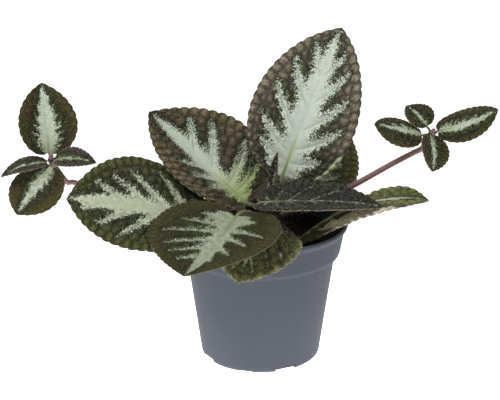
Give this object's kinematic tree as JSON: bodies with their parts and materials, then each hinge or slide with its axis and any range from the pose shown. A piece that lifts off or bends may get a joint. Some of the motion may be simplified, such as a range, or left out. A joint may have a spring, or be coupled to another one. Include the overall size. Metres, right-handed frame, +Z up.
{
  "type": "potted flame violet",
  "caption": "Flame violet in a grey-blue plastic nursery pot, with quilted silver-centred leaves and runners that carry young plantlets.",
  "frame": {"origin": "middle of the pot's flat underside", "axes": "+Z up along the pot's axis; the plant is seen in the picture along +Y, with +X to the right"},
  "size_m": [0.3351, 0.2096, 0.2216],
  "materials": {
    "pot": "satin moulded polypropylene",
    "soil": "rough damp peat",
    "stem": "hairy green-brown stem",
    "leaf": "quilted hairy leaf, silver centre and dark margin",
    "stolon": "hairy pink-brown runner"
  },
  "bodies": {
    "root": {"pot": "pot", "soil": "soil", "crown": "stem", "leaf_top": "leaf", "leaf_upper_left": "leaf", "leaf_left": "leaf", "leaf_front_left": "leaf", "leaf_front": "leaf", "leaf_right": "leaf", "leaf_far_right": "leaf", "leaf_back_right": "leaf", "leaf_back": "leaf", "leaf_back_left": "leaf", "leaf_low_back": "leaf", "leaf_young": "leaf", "stolon_left": "stolon", "stolon_right": "stolon", "left_plantlet_leaf_up": "leaf", "left_plantlet_leaf_right": "leaf", "left_plantlet_leaf_left": "leaf", "left_plantlet_leaf_down": "leaf", "left_plantlet_bud": "stolon", "right_plantlet_leaf_right": "leaf", "right_plantlet_leaf_left": "leaf", "right_plantlet_leaf_up": "leaf", "right_plantlet_leaf_down": "leaf", "right_plantlet_bud": "stolon"}
  },
  "joints": []
}
